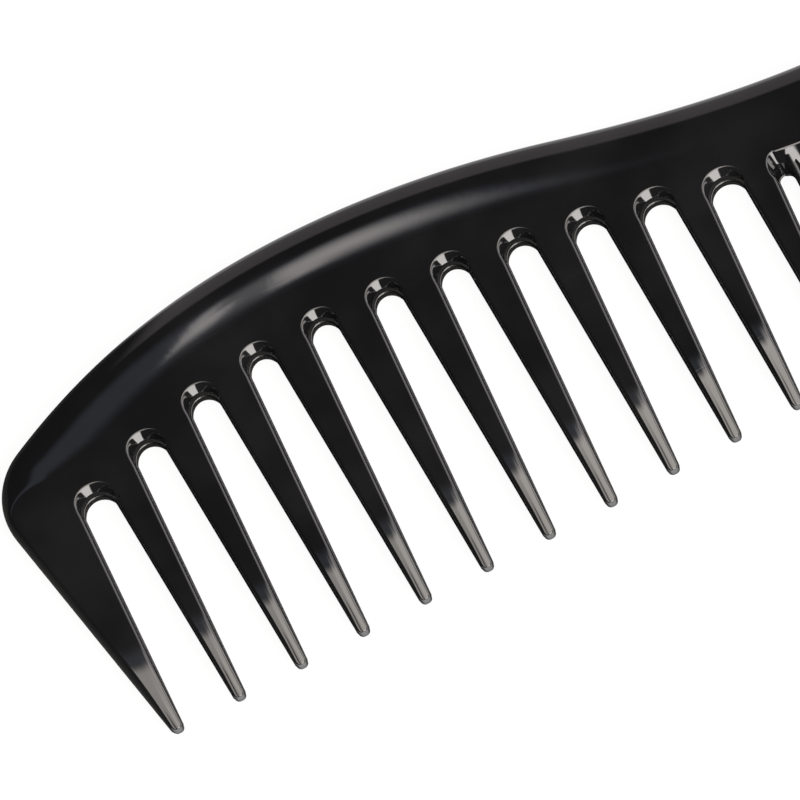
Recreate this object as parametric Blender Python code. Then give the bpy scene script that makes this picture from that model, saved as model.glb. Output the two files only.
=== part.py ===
"""Two-section hair comb with a double-humped back: wide teeth on one half, fine teeth on the other.

The comb lies flat. X runs along it, the teeth point towards -Y and Z is its thickness.
Heights in plan are measured from the straight line that all the tooth tips touch.
Each tooth is a solid of its own, parted from the spine just below the round slot roots.
"""

import math

import bmesh
import bpy
from mathutils import Vector

# ---- Driving dimensions, in metres ----
HALF_THICK = 0.00225      # half of the spine's and the wide teeth's thickness
FINE_HALF_THICK = 0.0019  # the fine teeth stand a little back from the spine's faces
PART_GAP = 0.0003         # clearance between a tooth's root and the spine

GUARD_TIP_X = 0.10157     # comb centre to the tip centre of either end guard tooth
WIDE_PITCH = 0.00747      # at the tips
WIDE_COUNT = 12           # the end guard tooth included
FINE_PITCH = 0.00252
FINE_COUNT = 46
FINE_LEAD = 0.0041        # last wide tooth's tip to first fine tooth's tip
FAN = 0.359               # wide teeth lean out by this slope per metre from FAN_X
FAN_X = 0.050             # middle of the fan, from the comb's centre

# Curves along the comb: (distance from the centre, height above the tips, slope)
BACK_KNOTS = (
    (0.0000, 0.03429, 0.000),
    (0.0370, 0.04032, 0.283),
    (0.0688, 0.04499, 0.000),
    (0.1036, 0.03676, -0.520),
)
ROOT_KNOTS = (
    (0.0000, 0.02510, 0.000),
    (0.0320, 0.02955, 0.235),
    (0.0700, 0.03483, 0.000),
    (0.0980, 0.02885, -0.420),
)

# Teeth: half width at the tip and how fast it grows with height
WIDE_TIP_HALF, WIDE_FLARE = 0.00072, 0.0456
FINE_TIP_HALF, FINE_FLARE = 0.00027, 0.0055
GUARD_FLARE = 0.1775      # the slanted outer edge of an end guard tooth
WIDE_DRAFT = 0.00030      # a flank leans in by this much from mid-plane to face
FINE_DRAFT = 0.00019
TAPER_HEIGHT = 0.0075     # the faces thin towards the tip below this height
TIP_HALF_THICK = 0.0008
TIP_ROUND = 0.00035       # height of the blunted end

# Slot roots: an arch at mid-plane, and how much higher the slot runs at the faces
WIDE_ARCH, WIDE_WEDGE = 0.00200, 0.00080
FINE_ARCH, FINE_WEDGE = 0.00055, 0.00210
WIDE_ARCH_STEPS = 8
FINE_ARCH_STEPS = 4

# The outline's outer edge is a half ellipse, drawn on rings at these distances from mid-plane
RINGS = (0.0, 0.0011, 0.0016, FINE_HALF_THICK, HALF_THICK)
CROWN_SHARE = 0.74        # along the back, the ellipse is this share of the spine deep
EDGE_ROUND = 0.0009       # its depth along the guard teeth's outer edges
CROWN_TURN = 0.9          # how far the edge must face the back for the full depth
BACK_STEPS = 22
CORNER_STEPS = 9

FACE = len(RINGS) - 1
LEFT, RIGHT = -1, 1


def along(knots, x):
    """Height and slope of a symmetric curve through its knots, as cubic Hermite spans."""
    distance = min(abs(x), knots[-1][0])
    span = next(i for i in range(1, len(knots)) if distance <= knots[i][0])
    (x0, y0, m0), (x1, y1, m1) = knots[span - 1], knots[span]
    width = x1 - x0
    t = (distance - x0) / width
    rise = y1 - y0
    height = y0 + rise * t * t * (3 - 2 * t) + width * t * (1 - t) * (m0 * (1 - t) - m1 * t)
    slope = (
        6 * rise * t * (1 - t) / width
        + m0 * (1 - t) * (1 - 3 * t)
        - m1 * t * (2 - 3 * t)
    )
    return height, slope if x >= 0 else -slope


def smoothstep(t):
    t = min(max(t, 0.0), 1.0)
    return t * t * (3 - 2 * t)


# ---- Teeth ----
class Tooth:
    """One tooth in plan. Each flank is a straight line: half width at the tip, and flare."""

    def __init__(self, name, x, flanks, draft, half_thick, guard_side=0):
        self.name = name
        self.x = x
        self.flanks = flanks
        self.draft = draft
        self.half_thick = half_thick
        self.guard_side = guard_side
        self.lean = fan_lean(x) if half_thick == HALF_THICK else 0.0

    def flank(self, side, height, z=0.0):
        """X of a flank at a height above the tip line and a distance z from mid-plane."""
        tip_half, flare = self.flanks[side]
        if side == self.guard_side:
            inset = edge_inset(z)
        else:
            inset = self.draft * z / HALF_THICK
        return self.x + self.lean * height + side * (tip_half + flare * height - inset)


def fan_lean(x):
    """Slope of a full-thickness tooth's centre line; the two guard teeth mirror each other."""
    return math.copysign(1.0, x) * FAN * (abs(x) - FAN_X)


def ellipse_share(z):
    """How far a half ellipse has come in at a distance z from mid-plane, as a share of its depth."""
    return 1 - math.sqrt(max(0.0, 1 - (z / HALF_THICK) ** 2))


def edge_inset(z):
    """How far a guard tooth's rounded outer edge has come in at a distance z from mid-plane."""
    return EDGE_ROUND * ellipse_share(z)


def make_teeth():
    wide = (WIDE_TIP_HALF, WIDE_FLARE)
    fine = (FINE_TIP_HALF, FINE_FLARE)
    outer = (WIDE_TIP_HALF, GUARD_FLARE)
    teeth = [Tooth("guard_tooth_wide_end", -GUARD_TIP_X, {LEFT: outer, RIGHT: wide},
                   WIDE_DRAFT, HALF_THICK, LEFT)]
    for i in range(1, WIDE_COUNT):
        teeth.append(Tooth(f"wide_tooth_{i + 1:02d}", -GUARD_TIP_X + i * WIDE_PITCH,
                           {LEFT: wide, RIGHT: wide}, WIDE_DRAFT, HALF_THICK))
    first_fine = teeth[-1].x + FINE_LEAD
    for i in range(FINE_COUNT):
        teeth.append(Tooth(f"fine_tooth_{i + 1:02d}", first_fine + i * FINE_PITCH,
                           {LEFT: fine, RIGHT: fine}, FINE_DRAFT, FINE_HALF_THICK))
    teeth.append(Tooth("guard_tooth_fine_end", GUARD_TIP_X, {LEFT: wide, RIGHT: outer},
                       WIDE_DRAFT, HALF_THICK, RIGHT))
    return teeth


class Slot:
    """The gap between two neighbouring teeth, with its round root."""

    def __init__(self, left, right):
        self.left = left
        self.right = right
        self.fine = FINE_HALF_THICK in (left.half_thick, right.half_thick)
        self.arch = FINE_ARCH if self.fine else WIDE_ARCH
        self.wedge = FINE_WEDGE if self.fine else WIDE_WEDGE
        self.steps = FINE_ARCH_STEPS if self.fine else WIDE_ARCH_STEPS
        middle = (left.flank(RIGHT, 0.0) + right.flank(LEFT, 0.0)) / 2
        self.root = along(ROOT_KNOTS, middle)[0]
        self.spring = self.root - self.wedge - self.arch

    def arch_points(self, ring, left_spring, right_spring):
        """The root from its right spring to its left one, on a ring of the spine."""
        z = RINGS[ring]
        top = self.root - self.wedge * (1 - z / HALF_THICK)
        points = []
        for i in range(self.steps + 1):
            turn = math.pi * i / self.steps
            across = (1 - math.cos(turn)) / 2
            start = right_spring.lerp(left_spring, across)
            point = Vector((start.x, start.y + (top - start.y) * math.sin(turn)))
            if ring == FACE and self.fine and not self.borders_wide(across):
                point.y = along(ROOT_KNOTS, point.x)[0]
            points.append(point)
        return points

    def borders_wide(self, across):
        """True on the half of a fine slot that lies against a full-thickness tooth."""
        if self.right.half_thick == HALF_THICK:
            return across < 0.5
        return self.left.half_thick == HALF_THICK and across > 0.5


class Cut:
    """The line on which a tooth parts from the spine."""

    def __init__(self, tooth, left_slot, right_slot):
        self.tooth = tooth
        self.left_height = (left_slot or right_slot).spring
        self.right_height = (right_slot or left_slot).spring

    def point(self, side, z):
        """Where the cut meets a flank at a distance z from mid-plane."""
        height = self.left_height if side == LEFT else self.right_height
        x = self.tooth.flank(side, height, z)
        x_left = self.tooth.flank(LEFT, self.left_height)
        x_right = self.tooth.flank(RIGHT, self.right_height)
        share = (x - x_left) / (x_right - x_left)
        return Vector((x, self.left_height + share * (self.right_height - self.left_height)))


# ---- Plan of the back, with the direction that points into the comb ----
def back_path(guard_cut_height):
    """Half of the back edge at mid-plane, from the comb's centre out to the guard tooth's cut."""
    end_x = BACK_KNOTS[-1][0]
    path = []
    for i in range(BACK_STEPS + 1):
        x = end_x * i / BACK_STEPS
        height, slope = along(BACK_KNOTS, x)
        path.append((Vector((x, height)), Vector((slope, -1.0)).normalized()))

    # The corner is one arc, tangent to the back and to the guard tooth's slanted edge.
    start, inward = path[-1]
    edge_slope = GUARD_FLARE + fan_lean(GUARD_TIP_X)
    edge_dir = Vector((-edge_slope, -1.0)).normalized()
    back_dir = Vector((-inward.y, inward.x))
    edge_foot = Vector((GUARD_TIP_X + WIDE_TIP_HALF, 0.0))
    to_foot = edge_foot - start
    tangent_length = to_foot.cross(edge_dir) / back_dir.cross(edge_dir)
    turn = math.acos(back_dir.dot(edge_dir))
    radius = tangent_length / math.tan(turn / 2)
    centre = start + inward * radius
    for i in range(1, CORNER_STEPS + 1):
        angle = -turn * i / CORNER_STEPS
        out = Vector((-inward.x * math.cos(angle) + inward.y * math.sin(angle),
                      -inward.x * math.sin(angle) - inward.y * math.cos(angle)))
        path.append((centre + out * radius, -out))

    foot = Vector((edge_foot.x + edge_slope * guard_cut_height, guard_cut_height))
    path.append((foot, Vector((-1.0, edge_slope)).normalized()))
    return path


def inset_point(point, inward, ring):
    """A point of the back edge moved in to a ring of the half ellipse."""
    height = along(BACK_KNOTS, point.x)[0] - along(ROOT_KNOTS, point.x)[0]
    share = smoothstep(-inward.y / CROWN_TURN)
    depth = EDGE_ROUND + (CROWN_SHARE * height - EDGE_ROUND) * share
    return point + inward * (depth * ellipse_share(RINGS[ring]))


# ---- Solids ----
def object_from(bm, name, collection, material, middle_height):
    """A mesh object in the comb's frame: flat face on Z = 0, centred in plan."""
    bmesh.ops.translate(bm, verts=bm.verts, vec=(0.0, -middle_height, HALF_THICK))
    bmesh.ops.recalc_face_normals(bm, faces=bm.faces)
    mesh = bpy.data.meshes.new(name)
    bm.to_mesh(mesh)
    bm.free()
    mesh.shade_smooth()
    mesh.set_sharp_from_angle(angle=math.radians(20))
    mesh.materials.append(material)
    obj = bpy.data.objects.new(name, mesh)
    collection.objects.link(obj)
    return obj


def make_spine(teeth, slots, cuts, collection, material, middle_height):
    """The spine as a loft of closed plan rings, from one face through mid-plane to the other."""
    left_half = [(Vector((-p.x, p.y)), Vector((-n.x, n.y)))
                 for p, n in back_path(cuts[0].left_height)]
    back = left_half[::-1] + back_path(cuts[-1].right_height)[1:]

    def plan(ring):
        z = RINGS[ring]
        points = [inset_point(p, n, ring) for p, n in back]
        for i in range(len(slots) - 1, -1, -1):
            right_spring = cuts[i + 1].point(LEFT, z)
            left_spring = cuts[i].point(RIGHT, z)
            points.extend(slots[i].arch_points(ring, left_spring, right_spring))
        return points

    bm = bmesh.new()
    levels = list(range(-FACE, FACE + 1))
    loops = []
    for level in levels:
        z = math.copysign(RINGS[abs(level)], level)
        loops.append([bm.verts.new((p.x, p.y, z)) for p in plan(abs(level))])
    for lower, upper in zip(loops, loops[1:]):
        for i in range(len(lower)):
            bm.faces.new((lower[i - 1], lower[i], upper[i], upper[i - 1]))
    bm.faces.new(loops[0])
    bm.faces.new(loops[-1])
    return object_from(bm, "spine", collection, material, middle_height)


def make_tooth(tooth, cut, collection, material, middle_height):
    """A tooth as the convex hull of its sections: blunt tip, end of the taper, and root cut."""
    stations = (
        (0.0, 0.6, 0.55 * TIP_HALF_THICK),
        (TIP_ROUND, 1.0, TIP_HALF_THICK),
        (TAPER_HEIGHT, 1.0, tooth.half_thick),
    )
    levels = RINGS[:-1] + (tooth.half_thick,)
    bm = bmesh.new()
    for side in (LEFT, RIGHT):
        outline = levels if side == tooth.guard_side else (0.0, tooth.half_thick)
        for height, width_share, half_thick in stations:
            for z in outline:
                x = tooth.flank(side, height, z)
                x = tooth.x + (x - tooth.x) * width_share
                for face in (-1, 1):
                    bm.verts.new((x, height, face * z * half_thick / tooth.half_thick))
        for z in outline:
            top = cut.point(side, z)
            for face in (-1, 1):
                bm.verts.new((top.x, top.y - PART_GAP, face * z))
    hull = bmesh.ops.convex_hull(bm, input=bm.verts)
    loose = [e for e in hull["geom_interior"] if isinstance(e, bmesh.types.BMVert)]
    bmesh.ops.delete(bm, geom=loose, context="VERTS")
    bmesh.ops.remove_doubles(bm, verts=bm.verts, dist=0.000001)
    return object_from(bm, tooth.name, collection, material, middle_height)


def plastic(name, colour, roughness):
    """Glossy moulded plastic."""
    material = bpy.data.materials.new(name)
    material.use_nodes = True
    shader = material.node_tree.nodes["Principled BSDF"]
    shader.inputs["Base Color"].default_value = (*colour, 1.0)
    shader.inputs["Roughness"].default_value = roughness
    shader.inputs["Metallic"].default_value = 0.0
    material.diffuse_color = (*colour, 1.0)
    return material


def main():
    for obj in list(bpy.data.objects):
        bpy.data.objects.remove(obj)
    collection = bpy.data.collections.new("wide_tooth_comb")
    bpy.context.scene.collection.children.link(collection)

    black = (0.010, 0.010, 0.011)
    spine_plastic = plastic("spine_black_plastic", black, 0.12)
    guard_plastic = plastic("guard_tooth_black_plastic", black, 0.12)
    wide_plastic = plastic("wide_tooth_black_plastic", black, 0.12)
    fine_plastic = plastic("fine_tooth_black_plastic", black, 0.14)

    teeth = make_teeth()
    slots = [Slot(left, right) for left, right in zip(teeth, teeth[1:])]
    cuts = [Cut(tooth, left, right)
            for tooth, left, right in zip(teeth, [None] + slots, slots + [None])]
    middle_height = max(y for _, y, _ in BACK_KNOTS) / 2

    make_spine(teeth, slots, cuts, collection, spine_plastic, middle_height)
    for tooth, cut in zip(teeth, cuts):
        if tooth.guard_side:
            material = guard_plastic
        elif tooth.half_thick == HALF_THICK:
            material = wide_plastic
        else:
            material = fine_plastic
        make_tooth(tooth, cut, collection, material, middle_height)


main()
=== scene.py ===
"""Looks of a two-section hair comb: glossy black moulded plastic, lying flat on a pale table.

Every CAD solid is replaced by a fine surface of the same plan: rounded edges, a mid-plane
parting bead, a crowned back and tapered tips. All lengths are in metres.
"""

import math

import bmesh
import bpy
import numpy as np
from mathutils import Matrix, Vector


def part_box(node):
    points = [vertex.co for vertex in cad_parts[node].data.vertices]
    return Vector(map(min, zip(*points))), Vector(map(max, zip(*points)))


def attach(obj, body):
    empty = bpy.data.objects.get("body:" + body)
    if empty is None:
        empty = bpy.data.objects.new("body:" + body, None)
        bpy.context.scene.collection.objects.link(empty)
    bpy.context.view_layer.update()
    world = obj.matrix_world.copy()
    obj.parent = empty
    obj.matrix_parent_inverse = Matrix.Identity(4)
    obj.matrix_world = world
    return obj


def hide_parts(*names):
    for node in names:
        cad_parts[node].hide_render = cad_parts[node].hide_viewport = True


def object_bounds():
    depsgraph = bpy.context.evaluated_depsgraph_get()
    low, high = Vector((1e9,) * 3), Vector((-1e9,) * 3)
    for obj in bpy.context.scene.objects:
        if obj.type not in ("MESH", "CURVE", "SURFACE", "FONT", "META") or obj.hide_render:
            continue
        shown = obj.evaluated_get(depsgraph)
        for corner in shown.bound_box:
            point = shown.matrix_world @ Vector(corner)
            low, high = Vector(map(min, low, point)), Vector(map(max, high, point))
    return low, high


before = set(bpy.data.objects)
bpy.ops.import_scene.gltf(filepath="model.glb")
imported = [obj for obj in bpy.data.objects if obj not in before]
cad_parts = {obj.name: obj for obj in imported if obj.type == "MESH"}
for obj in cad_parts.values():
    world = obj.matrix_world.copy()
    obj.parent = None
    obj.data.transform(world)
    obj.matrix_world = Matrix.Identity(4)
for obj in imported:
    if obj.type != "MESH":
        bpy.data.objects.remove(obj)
cad_box = [list(corner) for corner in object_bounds()]

# ---- Places, read from the frame ----
SPINE_LO, SPINE_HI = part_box("spine")
TIP_Y = cad_box[0][1]
MID_Z = (SPINE_LO.z + SPINE_HI.z) / 2
HALF_THICK = (SPINE_HI.z - SPINE_LO.z) / 2
FINE_LO, FINE_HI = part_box("fine_tooth_01")
FINE_HALF_THICK = (FINE_HI.z - FINE_LO.z) / 2
LEFT, RIGHT = -1, 1
SAME_PLACE = 1e-5            # sizes closer than this count as equal
MERGE_DISTANCE = 1e-7        # and points closer than this as one


def tip_x(cad_node):
    """X of a tooth's tip centre, from the lowest points of its CAD solid."""
    points = np.array([v.co[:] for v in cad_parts[cad_node].data.vertices])
    lowest = points[points[:, 1] < points[:, 1].min() + SAME_PLACE]
    return float((lowest[:, 0].min() + lowest[:, 0].max()) / 2)


# ---- Plan curves: (distance from the centre, height above the tips, slope) ----
BACK_KNOTS = (
    (0.0000, 0.03429, 0.000),
    (0.0370, 0.04032, 0.283),
    (0.0688, 0.04499, 0.000),
    (0.1036, 0.03676, -0.520),
)
ROOT_KNOTS = (
    (0.0000, 0.02510, 0.000),
    (0.0320, 0.02955, 0.235),
    (0.0700, 0.03483, 0.000),
    (0.0980, 0.02885, -0.420),
)
WIDE_TIP_HALF, WIDE_FLARE = 0.00072, 0.0456
FINE_TIP_HALF, FINE_FLARE = 0.00027, 0.0055
GUARD_FLARE = 0.1775
FAN, FAN_X = 0.359, 0.050    # wide teeth lean out by this slope per metre from FAN_X
WIDE_DRAFT, FINE_DRAFT = 0.00022, 0.00019
WIDE_ARCH, WIDE_WEDGE = 0.00200, 0.00080
FINE_ARCH, FINE_WEDGE = 0.00055, 0.00232
PART_GAP = 0.0003
CUT_LEAD = 0.001             # a full-thickness tooth's last level section is this far below its cut
FINE_OVERLAP = 0.0004        # a fine tooth runs this far into the spine

# ---- Surface detail ----
CROWN_SHARE = 0.74           # the back is a half ellipse this share of the spine deep
EDGE_ROUND = 0.0009          # depth of the ellipse along the guard teeth's outer edges
WIDE_FILLET, FINE_FILLET = 0.00036, 0.00014
BEAD_OUT, BEAD_HALF = 0.00012, 0.00011    # parting bead along every slot, at mid-plane
WIDE_KNEE = (0.00012, 0.00135)    # a root is steep up to its knee, then a chamfer to the face:
FINE_KNEE = (0.00110, 0.00141)    # inset of the knee, and its distance from mid-plane
KNEE_ROUND, WIDE_CHAMFER_END = 0.00022, 0.00088
CHAMFER_SPREAD = 0.95        # a wide slot's chamfer is full where its arch has risen this share
FACE_TAIL = 0.4              # a profile ends on the face, this share of a fillet past its edge
FILLET_KEEP = 0.35           # a thinned section keeps its own share of the fillet plus this
CORNER_SPREAD = 0.9          # the crown is full where the back's inward direction is this much -Y
TAPER_HEIGHT, TIP_HALF_THICK = 0.0109, 0.0008
FACE_CROWN, FACE_STEPS = 0.00003, 6    # a tip's face is this much higher along its middle
TIP_BLUNT, TIP_EDGE = 0.25, 0.00010    # flat share of a tooth's rounded end, and its edge radius
PATCH_SCALE, PEEL_SCALE = 90.0, 800.0  # wiped patches and orange peel, in cells per metre
HAIRLINE_SCALE = (40.0, 1800.0, 1800.0)
PEEL_HEIGHT = 0.0000015
PATCH_BAND, WORN_PATCH_BAND = (0.35, 0.70), (0.40, 0.60)    # noise values from bare to full
HAIRLINE_BAND, WORN_EDGE_BAND = (0.64, 0.72), (0.51, 0.60)
PATCH_SHADE, LEAST_WEAR = 0.5, 0.3
POLISHED, WIPED = 0.045, 0.075         # roughness, before what hairlines and wear add
HAIRLINE_ROUGH, WORN_ROUGH, HAIRLINE_DEPTH = 0.03, 0.04, -0.5
DEEP_BLACK, PALER_BLACK = (0.0030, 0.0030, 0.0033, 1.0), (0.0080, 0.0080, 0.0084, 1.0)

# Points from mid-plane to face: every column of a loft has the same number
BEAD_STEPS = 4
WALL_STEPS = 5
FILLET_STEPS = 10
COLUMN = BEAD_STEPS + WALL_STEPS + FILLET_STEPS + 3
# Columns round a wide slot's root, a fine one's quarter and each fine slot of the ramp
ARCH_STEPS, QUARTER_STEPS, RAMP_STEPS = 28, 10, 12
BACK_STEPS, CORNER_STEPS, EDGE_STEPS = 110, 28, 4
# Sections of a tooth: its rounded end, its taper and its even shank
END_STEPS, TAPER_STEPS, SHANK_STEPS = 12, 24, 5
SHARP_DEG = 35.0


def along(knots, x):
    """Height and slope of a symmetric curve through its knots, as cubic Hermite spans."""
    distance = min(abs(x), knots[-1][0])
    span = next(i for i in range(1, len(knots)) if distance <= knots[i][0])
    (x0, y0, m0), (x1, y1, m1) = knots[span - 1], knots[span]
    width = x1 - x0
    t = (distance - x0) / width
    rise = y1 - y0
    height = y0 + rise * t * t * (3 - 2 * t) + width * t * (1 - t) * (m0 * (1 - t) - m1 * t)
    slope = (
        6 * rise * t * (1 - t) / width
        + m0 * (1 - t) * (1 - 3 * t)
        - m1 * t * (2 - 3 * t)
    )
    return height, slope if x >= 0 else -slope


def smoothstep(t):
    t = min(max(t, 0.0), 1.0)
    return t * t * (3 - 2 * t)


# ---- Profiles: (inset from the mid-plane outline, distance from mid-plane) ----
def bead(scale=1.0):
    """Half of the round bead that the mould's parting line leaves."""
    turns = [math.pi / 2 * i / BEAD_STEPS for i in range(BEAD_STEPS + 1)]
    return [(scale * BEAD_OUT * (1 - math.cos(t)), scale * BEAD_HALF * math.sin(t)) for t in turns]


def wall_profile(draft, half_thick, fillet):
    """A side wall: parting bead, leaning wall, rounded edge and the start of the face."""
    points = bead(min(1.0, half_thick / HALF_THICK))
    foot, start = points[-1]
    slope = (draft - foot) / (half_thick - start)
    lean = math.atan(slope)
    top = half_thick - fillet + fillet * math.sin(lean)
    for i in range(1, WALL_STEPS + 1):
        z = start + (top - start) * i / (WALL_STEPS + 1)
        points.append((foot + slope * (z - start), z))
    centre = foot + slope * (top - start) + fillet * math.cos(lean)
    for i in range(FILLET_STEPS + 1):
        turn = lean + (math.pi / 2 - lean) * i / FILLET_STEPS
        points.append((centre - fillet * math.cos(turn),
                       half_thick - fillet + fillet * math.sin(turn)))
    points.append((centre + fillet * FACE_TAIL, half_thick))
    return points


def edge_profile(depth, half_thick):
    """The back's half ellipse, then the start of the flat land."""
    turns = [math.pi / 2 * i / (COLUMN - 2) for i in range(COLUMN - 1)]
    points = [(depth * (1 - math.cos(t)), half_thick * math.sin(t)) for t in turns]
    return points + [(depth + WIDE_FILLET * FACE_TAIL, half_thick)]


def rounded_profile(corners, radii, steps, tail):
    """A profile through its corners, each rounded by an arc, ending flat on the face."""
    points = []
    for i in range(1, len(corners) - 1):
        before, corner, after = (Vector(corners[j]) for j in (i - 1, i, i + 1))
        into, out = (before - corner).normalized(), (after - corner).normalized()
        half = into.angle(out) / 2
        reach = radii[i - 1] / math.tan(half)
        centre = corner + (into + out).normalized() * (radii[i - 1] / math.sin(half))
        start = corner + into * reach - centre
        sweep = math.pi - 2 * half
        way = 1 if start.cross(corner - centre) > 0 else -1
        for k in range(steps[i - 1] + 1):
            turn = way * sweep * k / steps[i - 1]
            arm = Matrix.Rotation(turn, 2) @ start
            points.append((centre.x + arm.x, centre.y + arm.y))
    return points + [(points[-1][0] + tail, corners[-1][1])]


def root_profile(knee, depth):
    """A slot's root: steep from the parting bead to its knee, then a broad chamfer to the face."""
    corners = ((BEAD_OUT, BEAD_HALF), knee, (depth, HALF_THICK), (2 * depth, HALF_THICK))
    steps = (FILLET_STEPS // 2, WALL_STEPS + FILLET_STEPS - FILLET_STEPS // 2 - 1)
    bends = rounded_profile(corners, (KNEE_ROUND, WIDE_FILLET), steps, WIDE_FILLET * FACE_TAIL)
    return bead() + bends


# ---- Teeth and slots in plan ----
def fan_lean(x):
    """Slope of a full-thickness tooth's centre line; the two guard teeth mirror each other."""
    return math.copysign(1.0, x) * FAN * (abs(x) - FAN_X)


class Tooth:
    """A tooth in plan: its flanks give each side's half width at the tip and its flare."""

    def __init__(self, node, x, flanks, half_thick, guard_side=0):
        self.node = node
        self.x = x
        self.flanks = flanks
        self.half_thick = half_thick
        self.fine = half_thick < HALF_THICK - SAME_PLACE
        self.draft = FINE_DRAFT if self.fine else WIDE_DRAFT
        self.fillet = FINE_FILLET if self.fine else WIDE_FILLET
        self.tip_half = flanks[LEFT][0]
        self.guard_side = guard_side
        self.lean = 0.0 if self.fine else fan_lean(x)

    def middle(self, height):
        return self.x + self.lean * height

    def flank(self, side, height):
        tip_half, flare = self.flanks[side]
        return self.middle(height) + side * (tip_half + flare * height)

    def profile(self, side, half_thick):
        """The section's outline on one side, at a place where the tooth is this thick."""
        share = half_thick / self.half_thick
        if side == self.guard_side:
            return edge_profile(EDGE_ROUND * share, half_thick)
        fillet = self.fillet * min(1, FILLET_KEEP + share)
        return wall_profile(self.draft * share, half_thick, fillet)


def make_teeth():
    wide = (WIDE_TIP_HALF, WIDE_FLARE)
    fine = (FINE_TIP_HALF, FINE_FLARE)
    outer = (WIDE_TIP_HALF, GUARD_FLARE)
    wide_nodes = sorted(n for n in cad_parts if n.startswith("wide_tooth_"))
    fine_nodes = sorted(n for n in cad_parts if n.startswith("fine_tooth_"))
    teeth = [Tooth("guard_tooth_wide_end", tip_x("guard_tooth_wide_end"),
                   {LEFT: outer, RIGHT: wide}, HALF_THICK, LEFT)]
    teeth += [Tooth(n, tip_x(n), {LEFT: wide, RIGHT: wide}, HALF_THICK) for n in wide_nodes]
    teeth += [Tooth(n, tip_x(n), {LEFT: fine, RIGHT: fine}, FINE_HALF_THICK) for n in fine_nodes]
    teeth += [Tooth("guard_tooth_fine_end", tip_x("guard_tooth_fine_end"),
                    {LEFT: wide, RIGHT: outer}, HALF_THICK, RIGHT)]
    return teeth


class Slot:
    """The gap between two neighbouring teeth."""

    def __init__(self, left, right):
        self.left, self.right = left, right
        self.fine = left.fine or right.fine
        self.arch = FINE_ARCH if self.fine else WIDE_ARCH
        self.wedge = FINE_WEDGE if self.fine else WIDE_WEDGE
        self.middle = (left.flank(RIGHT, 0.0) + right.flank(LEFT, 0.0)) / 2
        self.spring = along(ROOT_KNOTS, self.middle)[0] - self.wedge - self.arch
        self.ends = (left.flank(RIGHT, self.spring), right.flank(LEFT, self.spring))
        self.cut = self.spring - PART_GAP


class Cut:
    """The hidden line where a full-thickness tooth meets the spine."""

    def __init__(self, tooth, left_slot, right_slot):
        left_height = (left_slot or right_slot).cut
        right_height = (right_slot or left_slot).cut
        self.tooth = tooth
        self.heights = {LEFT: left_height, RIGHT: right_height}
        self.x0 = tooth.flank(LEFT, left_height)
        self.slope = (right_height - left_height) / (tooth.flank(RIGHT, right_height) - self.x0)

    def column(self, side):
        """Points on the cut, from mid-plane to face, on one flank."""
        x = self.tooth.flank(side, self.heights[side])
        points = []
        for inset, z in self.tooth.profile(side, self.tooth.half_thick):
            px = x - side * inset
            points.append((px, self.heights[LEFT] + self.slope * (px - self.x0), z))
        return points


def leaning_column(base, inward, profile):
    return [(base[0] + inward[0] * i, base[1] + inward[1] * i, z) for i, z in profile]


def blended(first, second, share):
    return [(a[0] + (b[0] - a[0]) * share, a[1] + (b[1] - a[1]) * share)
            for a, b in zip(first, second)]


def arch_columns(slot, first_turn, last_turn, steps, apex_profile):
    """Columns round a slot's root. Turn 0 is its right spring and pi its left one."""
    half_width = (slot.ends[1] - slot.ends[0]) / 2
    centre = (slot.ends[1] + slot.ends[0]) / 2
    wall = wall_profile(WIDE_DRAFT, HALF_THICK, WIDE_FILLET)
    columns = []
    for i in range(steps + 1):
        turn = first_turn + (last_turn - first_turn) * i / steps
        base = (centre + half_width * math.cos(turn), slot.spring + slot.arch * math.sin(turn))
        inward = Vector((math.cos(turn) / half_width, math.sin(turn) / slot.arch)).normalized()
        rise = math.sin(turn)
        share = rise ** 2 if slot.fine else smoothstep(rise / CHAMFER_SPREAD)
        profile = blended(wall, apex_profile, share)
        columns.append(leaning_column(base, inward, profile))
    return columns


def ramp_columns(slots, profile):
    """The continuous root of the fine section, from the last slot's apex to the first one's."""
    columns = []
    for slot in reversed(slots):
        first, last = slot is slots[-1], slot is slots[0]
        left, right = slot.ends
        for i in range(RAMP_STEPS + 1):
            share = 1 - i / RAMP_STEPS
            if (first and share > 0.5) or (last and share < 0.5):
                continue
            x = left + (right - left) * share
            rise = math.sqrt(max(0.0, 1 - (2 * share - 1) ** 2))
            root = along(ROOT_KNOTS, x)[0]
            low = root - FINE_WEDGE - FINE_ARCH * (1 - rise)
            grow = (root - low) / FINE_WEDGE
            columns.append([(x, low + inset * grow, z) for inset, z in profile])
    return columns[1:-1]


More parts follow.
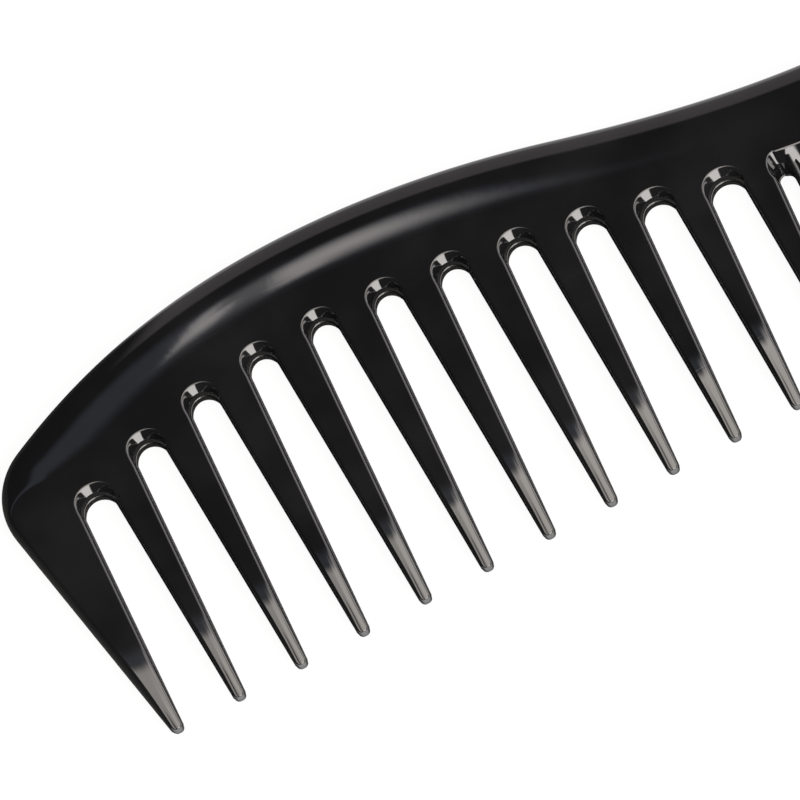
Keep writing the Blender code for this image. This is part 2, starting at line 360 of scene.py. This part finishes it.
# ---- The back edge ----
def back_path(guard, cut_height):
    """Half of the back edge at mid-plane, from the comb's centre to the guard tooth's cut."""
    end_x = BACK_KNOTS[-1][0]
    path = []
    for i in range(BACK_STEPS + 1):
        x = end_x * i / BACK_STEPS
        height, slope = along(BACK_KNOTS, x)
        path.append((Vector((x, height)), Vector((slope, -1.0)).normalized()))

    # One arc makes the corner, tangent to the back and to the guard tooth's slanted edge.
    start, inward = path[-1]
    edge_slope = GUARD_FLARE + abs(guard.lean)
    edge_dir = Vector((-edge_slope, -1.0)).normalized()
    back_dir = Vector((-inward.y, inward.x))
    edge_foot = Vector((abs(guard.x) + WIDE_TIP_HALF, 0.0))
    tangent_length = (edge_foot - start).cross(edge_dir) / back_dir.cross(edge_dir)
    turn = math.acos(back_dir.dot(edge_dir))
    radius = tangent_length / math.tan(turn / 2)
    centre = start + inward * radius
    for i in range(1, CORNER_STEPS + 1):
        angle = -turn * i / CORNER_STEPS
        out = Vector((-inward.x * math.cos(angle) + inward.y * math.sin(angle),
                      -inward.x * math.sin(angle) - inward.y * math.cos(angle)))
        path.append((centre + out * radius, -out))
    arc_end = path[-1][0]
    foot = Vector((edge_foot.x + edge_slope * cut_height, cut_height))
    for i in range(1, EDGE_STEPS):
        path.append((arc_end.lerp(foot, i / EDGE_STEPS), path[-1][1]))
    return path


def back_column(point, inward):
    """The back's profile, shallower round the corner than along the back."""
    height = along(BACK_KNOTS, point.x)[0] - along(ROOT_KNOTS, point.x)[0]
    share = smoothstep(-inward.y / CORNER_SPREAD)
    depth = EDGE_ROUND + (CROWN_SHARE * height - EDGE_ROUND) * share
    return leaning_column(point, inward, edge_profile(depth, HALF_THICK))


# ---- Meshes ----
def mesh_object(name, points, faces):
    """A piece in the row frame, from points whose y is a height above the tip line."""
    placed = [(x, y + TIP_Y, z + MID_Z) for x, y, z in points]
    mesh = bpy.data.meshes.new(name)
    mesh.from_pydata(placed, [], faces)
    bm = bmesh.new()
    bm.from_mesh(mesh)
    bmesh.ops.remove_doubles(bm, verts=bm.verts, dist=MERGE_DISTANCE)
    bmesh.ops.recalc_face_normals(bm, faces=bm.faces)
    bm.to_mesh(mesh)
    bm.free()
    mesh.shade_smooth()
    mesh.set_sharp_from_angle(angle=math.radians(SHARP_DEG))
    piece = bpy.data.objects.new(name, mesh)
    bpy.context.scene.collection.objects.link(piece)
    return piece


def full_loop(columns):
    """A column list with each column run from its lower face to its upper face."""
    return [[(x, y, -z) for x, y, z in column[:0:-1]] + column for column in columns]


def spine_piece(teeth, slots, cuts):
    """The back and every slot's root, as one ring of columns closed by its two faces."""
    left_back = [(Vector((-p.x, p.y)), Vector((-n.x, n.y)))
                 for p, n in back_path(teeth[0], cuts[0].heights[LEFT])]
    right_back = back_path(teeth[-1], cuts[-1].heights[RIGHT])
    columns = [cuts[0].column(LEFT)]
    columns += [back_column(p, n) for p, n in left_back[::-1] + right_back[1:]]
    columns.append(cuts[-1].column(RIGHT))

    fine_slots = [slot for slot in slots if slot.fine]
    wide_count = len(slots) - len(fine_slots)
    ramp_profile = root_profile(FINE_KNEE, FINE_WEDGE)
    columns.append(cuts[-1].column(LEFT))
    columns += arch_columns(fine_slots[-1], 0.0, math.pi / 2, QUARTER_STEPS, ramp_profile)
    columns += ramp_columns(fine_slots, ramp_profile)
    columns += arch_columns(fine_slots[0], math.pi / 2, math.pi, QUARTER_STEPS, ramp_profile)
    columns.append(cuts[wide_count].column(RIGHT))

    wide_profile = root_profile(WIDE_KNEE, WIDE_CHAMFER_END)
    for i in reversed(range(wide_count)):
        columns.append(cuts[i + 1].column(LEFT))
        columns += arch_columns(slots[i], 0.0, math.pi, ARCH_STEPS, wide_profile)
        columns.append(cuts[i].column(RIGHT))

    loops = full_loop(columns)
    height = len(loops[0])
    points = [p for loop in loops for p in loop]
    faces = []
    for i in range(len(loops)):
        here, before = i * height, (i - 1) % len(loops) * height
        for k in range(height - 1):
            faces.append((before + k, here + k, here + k + 1, before + k + 1))
    faces.append([i * height for i in range(len(loops))])
    faces.append([i * height + height - 1 for i in range(len(loops))])
    return mesh_object("moulded_spine", points, faces)


def half_thickness(tooth, height):
    """Half thickness of a tooth: even near its root, curving in below the taper height."""
    below = max(0.0, 1 - height / TAPER_HEIGHT)
    return tooth.half_thick - (tooth.half_thick - TIP_HALF_THICK) * below ** 2


def round_loss(radius, height):
    """How much an arc of this radius takes off, at a height above its lowest point."""
    return radius - math.sqrt(radius ** 2 - max(0.0, radius - height) ** 2)


def tip_radius(tooth):
    """Radius in plan of the round at either side of a tooth's blunt end."""
    return (1 - TIP_BLUNT) * tooth.tip_half


def section(tooth, height, top=None):
    """Closed outline of a tooth at a height, or on its cut."""
    thick = half_thickness(tooth, height) - round_loss(TIP_EDGE, height)
    share = 1 - round_loss(tip_radius(tooth), height) / tooth.tip_half
    sides = {}
    for side in (LEFT, RIGHT):
        if top:
            sides[side] = top.column(side)
            continue
        middle = tooth.middle(height)
        x = middle + (tooth.flank(side, height) - middle) * share
        sides[side] = [(x - side * inset * share, height, z)
                       for inset, z in tooth.profile(side, thick)]
    crown = 0.0 if top else FACE_CROWN * max(0.0, 1 - height / TAPER_HEIGHT) * share
    right, left = Vector(sides[RIGHT][-1]), Vector(sides[LEFT][-1])
    face = []
    for i in range(1, FACE_STEPS):
        way = i / FACE_STEPS
        x, y, z = right.lerp(left, way)
        face.append((x, y, z + 4 * crown * way * (1 - way)))
    upper = sides[RIGHT] + face + sides[LEFT][::-1]
    lower = [(x, y, -z) for x, y, z in upper[-2:0:-1]]
    return upper + lower


def tooth_piece(tooth, cut, root_height):
    """A tooth from its tip to its cut, or to inside the spine where it has none."""
    rounded = tip_radius(tooth)
    end = [rounded * (1 - math.cos(math.pi / 2 * i / END_STEPS)) for i in range(END_STEPS + 1)]
    taper = [rounded + (TAPER_HEIGHT - rounded) * i / TAPER_STEPS
             for i in range(1, TAPER_STEPS + 1)]
    last = min(cut.heights.values()) - CUT_LEAD if cut else root_height
    shank = [TAPER_HEIGHT + (last - TAPER_HEIGHT) * i / SHANK_STEPS
             for i in range(1, SHANK_STEPS + 1)]
    heights = end + taper + shank
    loops = [section(tooth, h) for h in heights]
    if cut:
        loops.append(section(tooth, last, top=cut))
    size = len(loops[0])
    points = [p for loop in loops for p in loop]
    faces = []
    for j in range(len(loops) - 1):
        for i in range(size):
            a, b = j * size + i, j * size + (i + 1) % size
            faces.append((a, b, b + size, a + size))
    faces.append(list(range(size)))
    faces.append([(len(loops) - 1) * size + i for i in range(size)])
    return mesh_object("moulded_" + tooth.node, points, faces)


# ---- Material ----
def node(tree, kind, inputs, **properties):
    """A shader node whose inputs are each given a value, or an output to link from."""
    made = tree.nodes.new(kind)
    for name, value in properties.items():
        setattr(made, name, value)
    for socket, value in inputs.items():
        if isinstance(value, bpy.types.NodeSocket):
            tree.links.new(value, made.inputs[socket])
        else:
            made.inputs[socket].default_value = value
    return made


def noise(tree, place, scale, detail):
    made = node(tree, "ShaderNodeTexNoise", {"Vector": place, "Scale": scale, "Detail": detail})
    return made.outputs["Fac"]


def ramp(tree, value, low, high, before=0.0, after=1.0):
    """Goes smoothly from one value to another while its input goes from low to high."""
    made = node(tree, "ShaderNodeMapRange",
                {"Value": value, "From Min": low, "From Max": high, "To Min": before,
                 "To Max": after}, interpolation_type="SMOOTHSTEP")
    return made.outputs["Result"]


def product(tree, first, *others):
    for other in others:
        first = node(tree, "ShaderNodeMath", {0: first, 1: other}, operation="MULTIPLY").outputs[0]
    return first


def total(tree, first, *others):
    for other in others:
        first = node(tree, "ShaderNodeMath", {0: first, 1: other}, operation="ADD").outputs[0]
    return first


def black_plastic():
    """Polished black plastic: faint orange peel, wiped patches, hairlines and worn edges."""
    material = bpy.data.materials.new("glossy_black_plastic")
    material.use_nodes = True
    tree = material.node_tree
    shader = tree.nodes["Principled BSDF"]
    shader.inputs["IOR"].default_value = 1.5

    place = tree.nodes.new("ShaderNodeTexCoord").outputs["Object"]
    patches = noise(tree, place, PATCH_SCALE, 3.0)
    peel = noise(tree, place, PEEL_SCALE, 2.0)
    along_comb = node(tree, "ShaderNodeVectorMath", {0: place, 1: HAIRLINE_SCALE},
                      operation="MULTIPLY").outputs[0]
    hairlines = ramp(tree, noise(tree, along_comb, 1.0, 2.0), *HAIRLINE_BAND)
    pointiness = tree.nodes.new("ShaderNodeNewGeometry").outputs["Pointiness"]
    worn = product(tree, ramp(tree, pointiness, *WORN_EDGE_BAND),
                   ramp(tree, patches, *WORN_PATCH_BAND, LEAST_WEAR, 1.0))

    shade = total(tree, ramp(tree, patches, *PATCH_BAND, 0.0, PATCH_SHADE),
                  product(tree, worn, hairlines))
    colour = node(tree, "ShaderNodeMix", {"Factor": shade, "A": DEEP_BLACK, "B": PALER_BLACK},
                  data_type="RGBA")
    roughness = total(tree, ramp(tree, patches, *PATCH_BAND, POLISHED, WIPED),
                      ramp(tree, hairlines, 0.0, 1.0, 0.0, HAIRLINE_ROUGH),
                      ramp(tree, worn, 0.0, 1.0, 0.0, WORN_ROUGH))
    height = total(tree, peel, ramp(tree, hairlines, 0.0, 1.0, 0.0, HAIRLINE_DEPTH))
    bump = node(tree, "ShaderNodeBump", {"Distance": PEEL_HEIGHT, "Height": height})
    tree.links.new(colour.outputs["Result"], shader.inputs["Base Color"])
    tree.links.new(roughness, shader.inputs["Roughness"])
    tree.links.new(bump.outputs["Normal"], shader.inputs["Normal"])
    return material


# ---- Studio ----
# Lights are soft-edged boxes: along each axis a light starts, is full, fades and ends. Far lights
# are patches of sky, bounded by the direction's x, y and z. Near lights lie on a card above the
# comb, bounded by their place in x and y. +Y is beyond the comb's back. Last comes the radiance.
ANY = (-3.0, -2.0, 2.0, 3.0)
ABOVE = (-0.05, 0.05, 2.0, 3.0)
FAR_LIGHTS = (
    # overhead, brightest towards the near side: the tips and the slots' roots mirror it
    ((-0.25, -0.15, 0.33, 0.39), (-0.48, -0.42, 0.17, 0.23), ABOVE, (5.0, 4.7, 4.4)),
    ((-0.13, -0.05, 0.44, 0.52), (-2.00, -1.50, -0.48, -0.42), (-0.08, -0.02, 2.0, 3.0),
     (12.0, 11.6, 11.2)),
    # its faint bluish far edge
    ((-0.24, -0.16, 0.36, 0.44), (0.17, 0.23, 0.26, 0.34), ABOVE, (0.34, 0.38, 0.46)),
    # on the right it reaches further back: the light on the right teeth's tips starts higher
    ((0.00, 0.09, 0.33, 0.39), (0.17, 0.23, 0.24, 0.31), ABOVE, (4.2, 4.0, 3.8)),
    # to the right on the near side: the left walls of the slots' roots
    ((0.74, 0.86, 2.0, 3.0), (-2.00, -1.50, 0.10, 0.25), ABOVE, (4.2, 4.0, 3.9)),
    # far backdrop, dark to the left: the grey band along the back
    ((-0.16, -0.10, 2.0, 3.0), (0.17, 0.23, 2.0, 3.0), (-0.23, -0.17, 0.53, 0.59),
     (0.66, 0.60, 0.61)),
    # to the right on the far side: the right flanks of the teeth
    ((0.29, 0.39, 2.0, 3.0), (0.05, 0.15, 0.57, 0.67), (-0.15, -0.05, 2.0, 3.0), (2.3, 2.2, 2.2)),
    # what light the dark room gives back
    (ANY, ANY, ABOVE, (0.06, 0.06, 0.065)),
)
CARD_HEIGHT, CARD_SIZE, FLOOR_SIZE = 0.42, 0.6, 30.0
NEAR_LIGHTS = (
    # strip light: the streak along the crown, uneven as the crown's slope changes
    ((-0.109, -0.103, -0.0915, -0.0855), (0.243, 0.294, 0.305, 0.330), (4.1, 3.85, 3.7)),
    ((-0.109, -0.103, -0.0975, -0.0925), (0.305, 0.330, 0.332, 0.405), (4.1, 3.85, 3.7)),
    ((-0.107, -0.100, -0.079, -0.0705), (0.220, 0.315, 0.330, 0.405), (1.0, 0.95, 0.9)),
    ((-0.0775, -0.0695, -0.0655, -0.0575), (0.232, 0.272, 0.310, 0.405), (4.6, 4.3, 4.1)),
    ((-0.0655, -0.0575, -0.054, -0.012), (0.225, 0.305, 0.308, 0.420), (4.8, 4.5, 4.3)),
    # its faint bluish spill
    ((-0.40, -0.30, -0.022, -0.002), (0.20, 0.27, 0.34, 0.45), (0.34, 0.38, 0.48)),
    # overhead, growing to the right: the tips of the wide teeth
    ((-0.105, -0.030, 2.0, 3.0), (-0.25, -0.21, 0.062, 0.089), (2.7, 2.5, 2.35)),
)
PALE = (0.98, 0.98, 0.98, 1.0)
FLOOR_COLOUR = (0.06, 0.06, 0.06, 1.0)    # dark, so that the table's paleness is all glow
FLOOR_GLOW = 0.92                    # how pale the camera sees the table
FAR_FLOOR_PAINTED_LIGHT = 1.15                # painted light: a pool of glow on the table beyond the comb's back, seen only in reflections
FAR_FLOOR_Y = (0.0128, 0.0150)
FAR_FLOOR_X = (-0.095, -0.080)
NEAR_FLOOR_PAINTED_LIGHT = 1.4                # and a painted pool of light on the table in front of the tooth tips, also seen only in reflections
NEAR_FLOOR_Y = (TIP_Y - 0.0012, TIP_Y + 0.0002)

# Angles are in degrees and the lens in millimetres
CAMERA_TARGET = (-0.06431, TIP_Y + 0.02193, MID_Z)
CAMERA_DISTANCE, CAMERA_ELEVATION, CAMERA_ROLL = 2.0, 68.70, -27.60
CAMERA_LENS, CAMERA_SENSOR = 839.0, 36.0


def lights(tree, place, table):
    """The summed radiance of a table of soft-edged boxes."""
    axes = node(tree, "ShaderNodeSeparateXYZ", {0: place}).outputs
    light = (0.0, 0.0, 0.0)
    for *edges, radiance in table:
        masks = []
        for i, (start, full, fade, end) in enumerate(edges):
            masks += [ramp(tree, axes[i], start, full), ramp(tree, axes[i], fade, end, 1.0, 0.0)]
        light = node(tree, "ShaderNodeVectorMath",
                     {0: product(tree, *masks), 1: radiance, 2: light},
                     operation="MULTIPLY_ADD").outputs[0]
    return light


def studio_world():
    """Soft lights that only reflections and shading see; the camera sees a pale backdrop."""
    world = bpy.data.worlds.new("studio")
    bpy.context.scene.world = world
    world.use_nodes = True
    tree = world.node_tree
    direction = tree.nodes.new("ShaderNodeTexCoord").outputs["Generated"]
    sky = node(tree, "ShaderNodeBackground", {"Color": lights(tree, direction, FAR_LIGHTS)})
    backdrop = node(tree, "ShaderNodeBackground", {"Color": PALE})
    path = tree.nodes.new("ShaderNodeLightPath")
    mix = node(tree, "ShaderNodeMixShader",
               {"Fac": path.outputs["Is Camera Ray"], 1: sky.outputs[0], 2: backdrop.outputs[0]})
    tree.links.new(mix.outputs[0], tree.nodes["World Output"].inputs["Surface"])


def stage_plane(name, size, height):
    """A level square of the stage, with a material of its own."""
    mesh = bpy.data.meshes.new(name)
    bm = bmesh.new()
    bmesh.ops.create_grid(bm, x_segments=1, y_segments=1, size=size)
    bmesh.ops.translate(bm, verts=bm.verts, vec=(0.0, 0.0, height))
    bm.to_mesh(mesh)
    bm.free()
    plane = bpy.data.objects.new(name, mesh)
    bpy.context.scene.collection.objects.link(plane)
    material = bpy.data.materials.new(name)
    material.use_nodes = True
    mesh.materials.append(material)
    return plane, material.node_tree


def light_card():
    """A see-through card above the comb that carries the near lights, seen in reflections only."""
    card, tree = stage_plane("light_card", CARD_SIZE, CARD_HEIGHT)
    card.visible_camera = False
    card.visible_shadow = False
    card.visible_diffuse = False
    tree.nodes.remove(tree.nodes["Principled BSDF"])
    place = tree.nodes.new("ShaderNodeTexCoord").outputs["Object"]
    glow = node(tree, "ShaderNodeEmission", {"Color": lights(tree, place, NEAR_LIGHTS)})
    clear = tree.nodes.new("ShaderNodeBsdfTransparent")
    both = node(tree, "ShaderNodeAddShader", {0: glow.outputs[0], 1: clear.outputs[0]})
    tree.links.new(both.outputs[0], tree.nodes["Material Output"].inputs["Surface"])


def pale_floor():
    """A table that the camera sees evenly pale. In reflections it is dark, with painted pools of
    light glowing beyond the comb's back and in front of its tips.
    """
    _, tree = stage_plane("pale_floor", FLOOR_SIZE, 0.0)
    shader = tree.nodes["Principled BSDF"]
    shader.inputs["Base Color"].default_value = FLOOR_COLOUR
    shader.inputs["Roughness"].default_value = 1.0
    shader.inputs["Specular IOR Level"].default_value = 0.0
    shader.inputs["Emission Color"].default_value = (1.0, 1.0, 1.0, 1.0)
    place = tree.nodes.new("ShaderNodeTexCoord").outputs["Object"]
    x, y, _ = node(tree, "ShaderNodeSeparateXYZ", {0: place}).outputs
    # painted light: for reflection rays only, the table glows in pools beyond the back and in front
    # of the tips
    far_light_pool = product(tree, ramp(tree, x, *FAR_FLOOR_X), ramp(tree, y, *FAR_FLOOR_Y))
    painted_light_pools = total(tree, ramp(tree, far_light_pool, 0.0, 1.0, 0.0, FAR_FLOOR_PAINTED_LIGHT),
                     ramp(tree, y, *NEAR_FLOOR_Y, NEAR_FLOOR_PAINTED_LIGHT, 0.0))
    path = tree.nodes.new("ShaderNodeLightPath")
    glow = ramp(tree, path.outputs["Is Camera Ray"], 0.0, 1.0, painted_light_pools, FLOOR_GLOW)
    tree.links.new(glow, shader.inputs["Emission Strength"])


def photo_camera():
    """Looks down on the wide half from the side of the tooth tips."""
    elevation, roll = math.radians(CAMERA_ELEVATION), math.radians(CAMERA_ROLL)
    forward = Vector((0.0, math.cos(elevation), -math.sin(elevation)))
    across = Vector((1.0, 0.0, 0.0))
    up = across.cross(forward)
    right = across * math.cos(roll) + up * math.sin(roll)
    upward = up * math.cos(roll) - across * math.sin(roll)
    data = bpy.data.cameras.new("camera")
    data.sensor_width = CAMERA_SENSOR
    data.lens = CAMERA_LENS
    data.clip_start = 0.01
    data.clip_end = 20.0
    camera = bpy.data.objects.new("camera", data)
    bpy.context.scene.collection.objects.link(camera)
    turn = Matrix((right, upward, -forward)).transposed().to_4x4()
    place = Vector(CAMERA_TARGET) - forward * CAMERA_DISTANCE
    camera.matrix_world = Matrix.Translation(place) @ turn
    bpy.context.scene.camera = camera


def main():
    bpy.context.scene.view_settings.view_transform = "Standard"
    teeth = make_teeth()
    slots = [Slot(left, right) for left, right in zip(teeth, teeth[1:])]
    cuts = [None if tooth.fine else Cut(tooth, left, right)
            for tooth, left, right in zip(teeth, [None] + slots, slots + [None])]
    plastic = black_plastic()

    pieces = [(spine_piece(teeth, slots, cuts), "spine")]
    for tooth, cut in zip(teeth, cuts):
        root_height = along(ROOT_KNOTS, tooth.x)[0] + FINE_OVERLAP
        pieces.append((tooth_piece(tooth, cut, root_height), tooth.node))
    for piece, cad_node in pieces:
        piece.data.materials.append(plastic)
        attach(piece, "root")
        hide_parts(cad_node)

    studio_world()
    light_card()
    pale_floor()
    photo_camera()


main()
